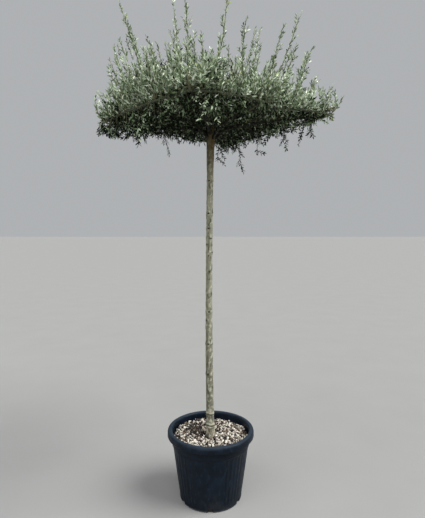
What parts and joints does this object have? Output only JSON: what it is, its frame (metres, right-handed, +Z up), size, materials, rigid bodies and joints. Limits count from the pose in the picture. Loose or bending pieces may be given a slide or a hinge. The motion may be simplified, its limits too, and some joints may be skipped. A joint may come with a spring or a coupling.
{
  "type": "potted roof-trained cork oak",
  "caption": "Evergreen tree trained as a flat square roof of boughs and leafy shoots on a tall clear trunk, growing in a round black nursery pot topped with wood-chip mulch.",
  "frame": {"origin": "centre of the pot's flat underside", "axes": "+Z up along the trunk, -Y towards the viewer, +X to the viewer's right"},
  "size_m": [1.1193, 1.0763, 2.1781],
  "materials": {
    "pot": "blue-black moulded plastic, satin, a little dusty",
    "growing_medium": "pale wood-chip mulch over dark potting compost, rough and dry",
    "trunk_bark": "smooth grey-green bark with ringed knots, matt",
    "bough_bark": "dark olive-brown young bark, matt",
    "foliage": "small narrow grey-green evergreen leaves on thin twigs, satin above and paler beneath"
  },
  "bodies": {
    "root": {"pot": "pot", "growing_medium": "growing_medium", "trunk": "trunk_bark", "bough_near_corner": "bough_bark", "bough_right_corner": "bough_bark", "bough_far_corner": "bough_bark", "bough_left_corner": "bough_bark", "bough_near_right_side": "bough_bark", "bough_far_right_side": "bough_bark", "bough_far_left_side": "bough_bark", "bough_near_left_side": "bough_bark", "edge_limb_near_left": "bough_bark", "edge_limb_near_right": "bough_bark", "edge_limb_right": "bough_bark", "edge_limb_far_right": "bough_bark", "edge_limb_far_left": "bough_bark", "foliage_near_corner": "foliage", "foliage_right_corner": "foliage", "foliage_far_corner": "foliage", "foliage_left_corner": "foliage", "foliage_near_right_side": "foliage", "foliage_far_right_side": "foliage", "foliage_far_left_side": "foliage", "foliage_near_left_side": "foliage", "foliage_middle": "foliage"}
  },
  "joints": []
}
